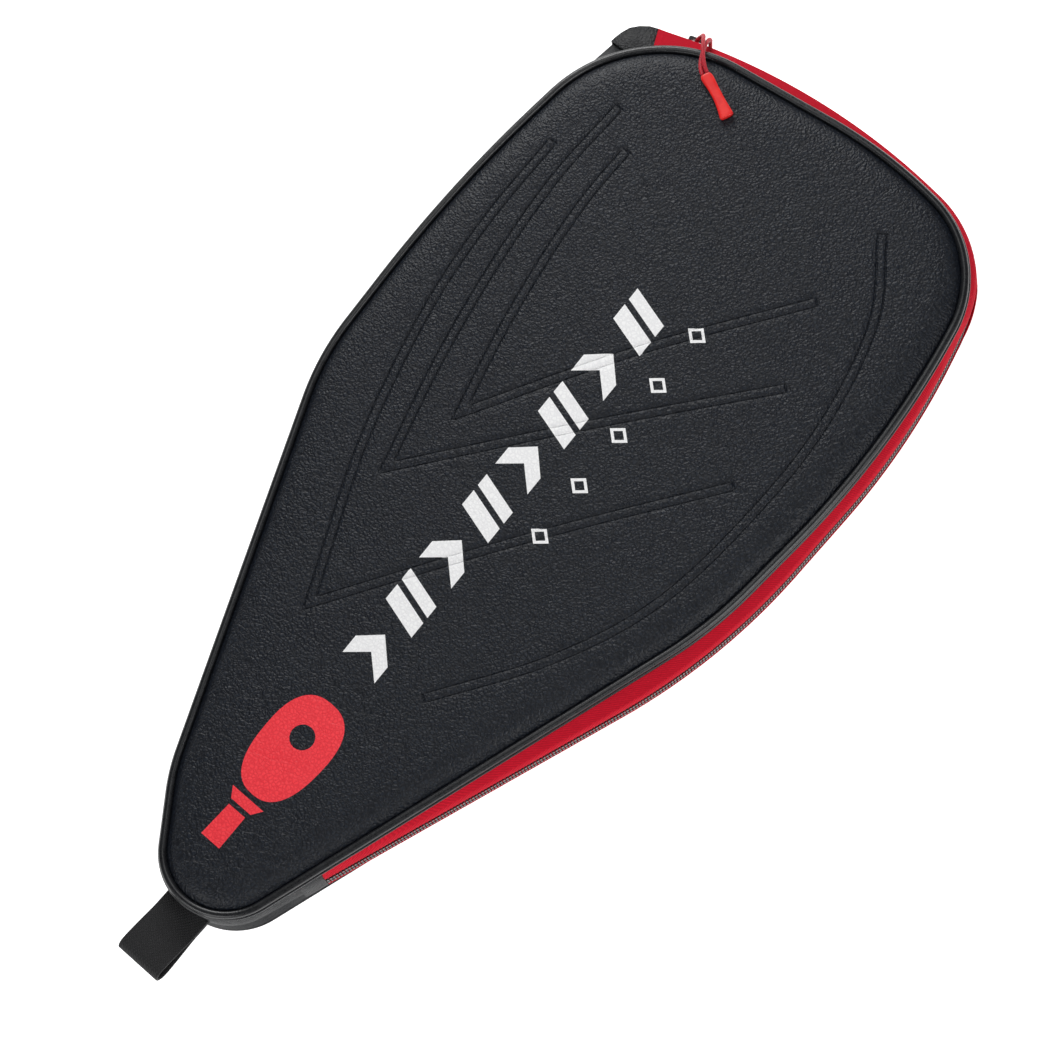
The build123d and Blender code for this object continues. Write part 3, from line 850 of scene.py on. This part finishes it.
EDGE_STEP = 0.4
GROOVE_STEP = 0.3
FINE_EDGE = tree_of(sampled(PIPING_CORNERS, EDGE_STEP)[0])
GROOVES = groove_lines()
GROOVE_TREE = tree_of(np.vstack([smooth_line(thinned(line, 3), GROOVE_STEP) for line in GROOVES]))


def inset_at(x, y):
    """Distance to the piping line."""
    return FINE_EDGE.find((x, y, 0))[2]


def share(value):
    """value kept between 0 and 1."""
    return min(1.0, max(0.0, value))


def skin_height(x, y, inset, embossed):
    """Height of the padded panel's face, the flat back's or the embossed front's."""
    z = SKIN_TOP - (SKIN_TOP - PANEL_BASE_Z) * math.exp(-(inset - SKIN_EDGE) / ROLL)
    if not embossed:
        return min(z, DEPTH)
    if inset > CROWN_FROM:
        z += CROWN * (1 - math.exp(-((inset - CROWN_FROM) / CROWN_REACH) ** 2))
    fade = share((inset - FADE_FROM) / FADE_OVER)
    tail = share((TAIL_FROM_Y - y) / TAIL_OVER)
    z += fade * sum(height * noise(Vector((x / size, y / size, seed))) for height, size, seed in UNEVEN)
    slanted = Vector((x / TAIL_SIZE_X + y / TAIL_SLANT, y / TAIL_SIZE_Y, TAIL_SEED))
    z += fade * tail * TAIL_HEIGHT * noise(slanted)
    gap = GROOVE_TREE.find((x, y, 0))[2]
    if gap < GROOVE_REACH:
        z -= GROOVE_DEPTH * math.exp(-(gap / GROOVE_HALF) ** 2)
        z += RIDGE * math.exp(-((gap - RIDGE_AT) / RIDGE_HALF) ** 2)
    return z


# Printed shapes: a row of slanted bars and chevrons, five small open diamonds and a paddle.
ROW_FROM = (4.0, -108.0)
ROW_TO = (-7.0, 113.0)
ROW_HALF = 10.5
ROW_CELLS = 8
# The two kinds of cell in turn, as points along and across the row.
CHEVRON = [[(2, -ROW_HALF), (11.5, -ROW_HALF), (22.5, 0), (14, ROW_HALF), (4.5, ROW_HALF), (12.5, 0)]]
TWO_BARS = [
    [(1, -ROW_HALF), (9.5, -ROW_HALF), (16.5, ROW_HALF), (8, ROW_HALF)],
    [(12.5, -ROW_HALF), (19, -ROW_HALF), (26, ROW_HALF), (19.5, ROW_HALF)],
]
MARKS = 5
MARKS_FROM = (26.3, -6.0)
MARKS_TO = (18.6, 111.0)
MARK_REACHES = (5.4, 3.3)   # of a diamond's outer and inner corners across the panel
MARK_HEIGHT = 0.85          # its reach along the panel, as a share of that
PADDLE_AT = (6.0, -152.0)
BLADE_HALF_WIDTH = 17.0
BLADE_HALF_LENGTH = 27.0
BLADE_SQUARENESS = 0.8
BLADE_FLARE = 0.06
BLADE_POINTS = 48
WINDOW_UP = 7
WINDOW_R = 6
WINDOW_POINTS = 20


def row_shapes():
    """The white row, as polygons."""
    start = np.array(ROW_FROM)
    whole = np.array(ROW_TO) - start
    length = float(np.linalg.norm(whole))
    along = whole / length
    across = np.array((-along[1], along[0]))
    shapes = []
    for i in range(ROW_CELLS):
        cell = i * (length / ROW_CELLS)
        for part in TWO_BARS if i % 2 else CHEVRON:
            shapes.append([tuple(start + along * (cell + a) + across * b) for a, b in part])
    return shapes


def mark_shapes():
    """Small open diamonds, each as an outer and an inner polygon."""
    shapes = []
    for i in range(MARKS):
        t = i / (MARKS - 1)
        x, y = (a + (b - a) * t for a, b in zip(MARKS_FROM, MARKS_TO))
        shapes.append([
            [(x + sx * w, y + sy * w * MARK_HEIGHT) for sx, sy in ((1, 0), (0, 1), (-1, 0), (0, -1))]
            for w in MARK_REACHES
        ])
    return shapes


def paddle_shapes():
    """Plain paddle: blade with a round window, a bar and a grip."""
    cx, cy = PADDLE_AT
    blade = []
    for k in range(BLADE_POINTS):
        angle = 2 * math.pi * k / BLADE_POINTS
        c = signed_power(math.cos(angle), BLADE_SQUARENESS)
        s = signed_power(math.sin(angle), BLADE_SQUARENESS)
        blade.append((cx + BLADE_HALF_WIDTH * c * (1 + BLADE_FLARE * s), cy + BLADE_HALF_LENGTH * s))
    window = []
    for k in range(WINDOW_POINTS):
        angle = 2 * math.pi * k / WINDOW_POINTS
        window.append((cx + WINDOW_R * math.cos(angle), cy + WINDOW_UP + WINDOW_R * math.sin(angle)))

    def tapered(top, half_top, bottom, half_bottom):
        """Four-cornered piece below the paddle's middle."""
        return [(cx - half_top, cy - top), (cx + half_top, cy - top),
                (cx + half_bottom, cy - bottom), (cx - half_bottom, cy - bottom)]

    return blade, window, tapered(29.5, 9.5, 34.5, 6), tapered(37, 5, 55, 5.6)


def in_polygon(x, y, polygon):
    """Whether the point is inside, by the edges that a ray from it crosses."""
    inside = False
    for (x1, y1), (x2, y2) in zip(polygon, polygon[1:] + polygon[:1]):
        if (y1 > y) != (y2 > y) and x < (x2 - x1) * (y - y1) / (y2 - y1) + x1:
            inside = not inside
    return inside


def dense(polygon, step=1.6):
    """The polygon's edge with points about step apart."""
    points = []
    for (x1, y1), (x2, y2) in zip(polygon, polygon[1:] + polygon[:1]):
        parts = max(1, round(math.hypot(x2 - x1, y2 - y1) / step))
        points += [(x1 + (x2 - x1) * j / parts, y1 + (y2 - y1) * j / parts) for j in range(parts)]
    return points


WHITE_SLOT = 1
RED_SLOT = 2

# How far the face's points stay from the rolled edge, the prints' outlines and the grooves.
CLEAR_OF_EDGE = 1.6
CLEAR_OF_PRINT = 1.0
CLEAR_OF_GROOVE = 1.9
GROOVE_CLEAR_OF_EDGE = 0.8
GROOVE_CLEAR_OF_PRINT = 0.5

EDGE_EVERY = 6              # the coarse outline takes every sixth point of the ring
EDGE_POLYGON = [tuple(p) for p in PIPING_XY[::EDGE_EVERY]]


def all_prints():
    """Every print as its material slot, its outline and the outline of its opening."""
    blade, window, bar, grip = paddle_shapes()
    prints = [(WHITE_SLOT, shape, None) for shape in row_shapes()]
    prints += [(WHITE_SLOT, outer, inner) for outer, inner in mark_shapes()]
    return prints + [(RED_SLOT, blade, window), (RED_SLOT, bar, None), (RED_SLOT, grip, None)]


def panel_field(prints, embossed):
    """Points inside the innermost ring, and the segments among them that are edges of prints."""
    edge = PIPING_XY - PIPING_N * RINGS[-1]
    points = [tuple(p) for p in edge]
    segments = []
    outlines = [polygon for _, a, b in prints for polygon in (a, b) if polygon]
    for polygon in outlines:
        start = len(points)
        ring = dense(polygon)
        points += ring
        segments += [(start + j, start + (j + 1) % len(ring)) for j in range(len(ring))]
    print_tree = tree_of(points[RING:]) if outlines else None

    def clear(x, y, gap):
        """Whether the point is farther than gap from every print's outline."""
        return print_tree is None or print_tree.find((x, y, 0))[2] > gap

    if embossed:
        for line in GROOVES:
            for shift in GROOVE_ROWS:
                for x, y in beside(thinned(line, 2), shift):
                    inside = inset_at(x, y) > RINGS[-1] + GROOVE_CLEAR_OF_EDGE
                    if inside and clear(x, y, GROOVE_CLEAR_OF_PRINT):
                        points.append((x, y))
    low = edge.min(axis=0)
    high = edge.max(axis=0)
    rows = int((high[1] - low[1]) / (GRID * ROW_SHARE))
    for row in range(rows):
        y = low[1] + (row + 0.5) * GRID * ROW_SHARE
        x = low[0] + (GRID / 2 if row % 2 else 0)
        while x < high[0]:
            inside = in_polygon(x, y, EDGE_POLYGON) and inset_at(x, y) > RINGS[-1] + CLEAR_OF_EDGE
            near_groove = embossed and GROOVE_TREE.find((x, y, 0))[2] < CLEAR_OF_GROOVE
            if inside and not near_groove and clear(x, y, CLEAR_OF_PRINT):
                points.append((x, y))
            x += GRID
    return points, segments


KEEP_INSIDE = 1             # the triangulation's output: only what is inside the ring
TRIANGLE_EPSILON = 1e-5


def triangulated(points, segments):
    """Points and triangles inside the ring that the first points make."""
    flat, _, triangles, _, _, _ = delaunay_2d_cdt(
        [Vector(p) for p in points], segments, [list(range(RING))], KEEP_INSIDE, TRIANGLE_EPSILON)
    return flat, triangles


def edge_rings(embossed):
    """Points of the rolled edge: one ring in the base plane and those of the skin but the innermost."""
    verts = []
    for ring, inset in enumerate([SKIN_EDGE] + RINGS[:-1]):
        lip = LIP if inset < LIP_WITHIN else 0
        for x, y in PIPING_XY - PIPING_N * inset:
            verts.append((x, y, skin_height(x, y, inset, embossed) + lip if ring else PANEL_BASE_Z))
    return verts


def color_prints(obj, faces, prints):
    """Gives every face whose centre is in a print that print's material."""
    boxes = []
    for slot, outer, inner in prints:
        xs, ys = zip(*outer)
        boxes.append((slot, outer, inner, min(xs), max(xs), min(ys), max(ys)))
    for face in faces:
        corners = [obj.data.vertices[v].co / MM for v in face.vertices]
        x = sum(c.x for c in corners) / len(corners)
        y = sum(c.y for c in corners) / len(corners)
        for slot, outer, inner, x0, x1, y0, y1 in boxes:
            if x0 < x < x1 and y0 < y < y1 and in_polygon(x, y, outer):
                if not (inner and in_polygon(x, y, inner)):
                    face.material_index = slot


def panel_mesh(name, back):
    """Closed padded panel: rolled edge rings, a triangulated face and a flat inner side."""
    embossed = not back
    prints = [] if back else all_prints()
    flat, triangles = triangulated(*panel_field(prints, embossed))
    verts = edge_rings(embossed)
    start = len(verts)
    for x, y in flat:
        verts.append((x, y, skin_height(x, y, inset_at(x, y), embossed)))
    edge_tree = tree_of(flat)
    last_ring = [start + edge_tree.find((x, y, 0))[1] for x, y in PIPING_XY - PIPING_N * RINGS[-1]]
    faces = swept_faces(len(RINGS), RING)[:-2]
    last = start - RING
    for i in range(RING):
        j = (i + 1) % RING
        faces.append((last + i, last + j, last_ring[j], last_ring[i]))
    around = len(faces)
    faces += [tuple(start + k for k in t) for t in triangles]
    faces.append(tuple(range(RING)))
    if back:
        verts = [(x, y, DEPTH - z) for x, y, z in verts]
    obj = mesh_object(name, verts, faces, [LEATHER, PRINT_WHITE, PRINT_RED])
    color_prints(obj, obj.data.polygons[around:-1], prints)
    fix_normals(obj)
    return obj


def add_panel(back):
    """One panel with its lining and the binding of its seam."""
    half = "back" if back else "front"
    skin = panel_mesh(f"{half}_panel", back)
    settle(skin, back, "leather_black", *both_sides("skin", back), *both_sides("foam", back))
    add_lining(half, back)
    binding = [("piping", -2.8, 31.5), ("piping", -2.8, 29.8), ("piping", -3.3, 29.4), ("piping", -5.6, 29.5),
               ("piping", -6.1, 30.0), ("piping", -6.1, 31.1), ("piping", -5.7, 31.5)]
    tape = ring_mesh(f"{half}_binding", binding, BINDING, back=back)
    settle(tape, back, "binding_black", *both_sides("seam_binding", back))


LINING_Z = 31.9
LINING_INSET = 2.7
LINING_CLEAR = 3            # how far inside its edge the lining's own points begin
LINING_GRID = 6.0
LINING_WAVE = 0.25
LINING_WAVE_SIZE = 16.0
LINING_SEED = 9.0


def add_lining(half, back):
    """Lining sheet stretched under the panel, slightly uneven."""
    edge = PIPING_XY - PIPING_N * LINING_INSET
    points = [tuple(p) for p in edge]
    low = edge.min(axis=0)
    high = edge.max(axis=0)
    y = low[1]
    while y < high[1]:
        x = low[0]
        while x < high[0]:
            if in_polygon(x, y, EDGE_POLYGON) and inset_at(x, y) > LINING_INSET + LINING_CLEAR:
                points.append((x, y))
            x += LINING_GRID
        y += LINING_GRID
    flat, triangles = triangulated(points, [])
    verts = []
    for x, y in flat:
        wave = noise(Vector((x / LINING_WAVE_SIZE, y / LINING_WAVE_SIZE, LINING_SEED)))
        z = LINING_Z + LINING_WAVE * wave
        verts.append((x, y, DEPTH - z if back else z))
    obj = mesh_object(f"{half}_lining_sheet", verts, [tuple(t) for t in triangles], LINING)
    fix_normals(obj)
    settle(obj, back, "lining_charcoal", *both_sides("lining", back))


for on_back in (True, False):
    add_panel(on_back)
    add_piping(on_back)
    add_zip_side(on_back)
add_spine()
add_tabs()


# ---- hang loop ----
LOOP_X = 13.5
LOOP_WIDTH = 24.0
LOOP_ROOT_Y = -239.9
LOOP_END_Y = -269.5
LOOP_WEB = 1.5
LOOP_RIBS = 24
LOOP_STEP = 0.9
RIB_HEIGHT = 0.09
RIB_POINTS = 4
RIM_FROM = 0.985            # share of the half width at which the thinner rim begins
RIM_THINNING = 0.45
WEB_INSET = 0.1


def loop_path():
    """The webbing's centre line in y and z, from the seam round the fold and back."""
    root = LOOP_ROOT_Y
    end = LOOP_END_Y + 5.0
    upper = [
        (root + 6.0, 0.78), (root - 2, 0.8), (root - 5.5, 1.0), (root - 9, 1.7), (root - 14, 2.8),
        (root - 19, 3.7), (end + 1, 4.2), (end - 1.5, 4.0), (end - 3.2, 2.8), (end - 4.2, 1.1),
    ]
    fold = [(end - 4.25, 0.0)]
    centre = [(y, MID_Z + z) for y, z in upper + fold] + [(y, MID_Z - z) for y, z in reversed(upper)]
    return smooth_line(centre, LOOP_STEP)


def add_loop():
    """Folded ribbed webbing, its two layers sewn together at the seam and open at the fold."""
    path = loop_path()
    way = np.gradient(path, axis=0)
    way /= np.linalg.norm(way, axis=1)[:, None]
    normals = np.stack([-way[:, 1], way[:, 0]], axis=1)
    verts = []
    columns = LOOP_RIBS * RIB_POINTS + 1
    for side in (1, -1):
        for (y, z), (ny, nz) in zip(path, normals):
            for k in range(columns):
                t = k / (columns - 1)
                rib = RIB_HEIGHT * math.cos(2 * math.pi * LOOP_RIBS * t)
                rim = 1 - RIM_THINNING * (abs(2 * t - 1) > RIM_FROM)
                reach = side * (LOOP_WEB / 2 * rim - WEB_INSET + rib)
                verts.append((LOOP_X + (t - 0.5) * LOOP_WIDTH, y + ny * reach, z + nz * reach))
    count = len(path)
    layer = count * columns
    faces = swept_faces(count, columns, closed=False) + swept_faces(count, columns, base=layer, closed=False)
    for i in range(count - 1):
        for k in (0, columns - 1):
            a = i * columns + k
            faces.append((a, a + columns, a + columns + layer, a + layer))
    for i in (0, count - 1):
        for k in range(columns - 1):
            a = i * columns + k
            faces.append((a, a + 1, a + 1 + layer, a + layer))
    loop = mesh_object("webbing_loop", verts, faces, WEBBING)
    fix_normals(loop)
    ride_as(loop, "hang_loop", "webbing_black", "tail_loop")


add_loop()


# ---- nodes that keep their shape ----
for node, look in (("slider_body", SLIDER), ("slider_bridge", SLIDER), ("zip_top_stops", STOPS)):
    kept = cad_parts[node]
    kept.data.materials.clear()
    kept.data.materials.append(look)


# ---- floor, light and view ----
FLOOR_HALF = 1600.0
FLOOR_Z = -0.2
FLOOR_GLOW = 0.85
WORLD_STRENGTH = 0.11

# Name, place, target, width and height in metres, and power in watts.
LIGHTS = [
    ("overhead", (-0.12, 0.14, 0.75), (0.02, 0.0, 0.0), 0.34, 0.46, 0.85),
    ("side_left", (-1.1, 0.9, 0.8), (0.0, 0.0, 0.0), 0.9, 0.9, 19.0),
    ("side_right", (1.2, 0.1, 0.7), (0.0, 0.0, 0.0), 0.6, 1.2, 9.0),
    ("side_low", (0.2, -1.3, 0.7), (0.0, 0.0, 0.0), 1.2, 0.6, 8.0),
]


def add_floor():
    """Plain pale floor, lit from within so that it stays almost white."""
    n = Nodes("floor", (0.9, 0.9, 0.9), 0.9, Emission_Color=(1, 1, 1, 1), Emission_Strength=FLOOR_GLOW)
    mottled = n.mix(n.noise(60.0), (0.90, 0.90, 0.90), (0.93, 0.93, 0.93))
    corners = [(x * FLOOR_HALF, y * FLOOR_HALF, FLOOR_Z) for x, y in ((-1, -1), (1, -1), (1, 1), (-1, 1))]
    floor = mesh_object("floor", corners, [(0, 1, 2, 3)], n.finish(mottled))


def add_area(name, place, target, width, height, power):
    """Rectangular light at place, facing target."""
    data = bpy.data.lights.new(name, "AREA")
    data.shape = "RECTANGLE"
    data.size = width
    data.size_y = height
    data.energy = power
    light = bpy.data.objects.new(name, data)
    light.location = place
    light.rotation_euler = (Vector(target) - Vector(place)).to_track_quat("-Z", "Y").to_euler()
    bpy.context.scene.collection.objects.link(light)


def add_world(strength):
    """Even white surroundings."""
    world = bpy.data.worlds.new("world")
    world.use_nodes = True
    world.node_tree.nodes["Background"].inputs["Color"].default_value = (1, 1, 1, 1)
    world.node_tree.nodes["Background"].inputs["Strength"].default_value = strength
    bpy.context.scene.world = world


add_floor()
add_world(WORLD_STRENGTH)
for light in LIGHTS:
    add_area(*light)
bpy.context.scene.view_settings.view_transform = "Standard"
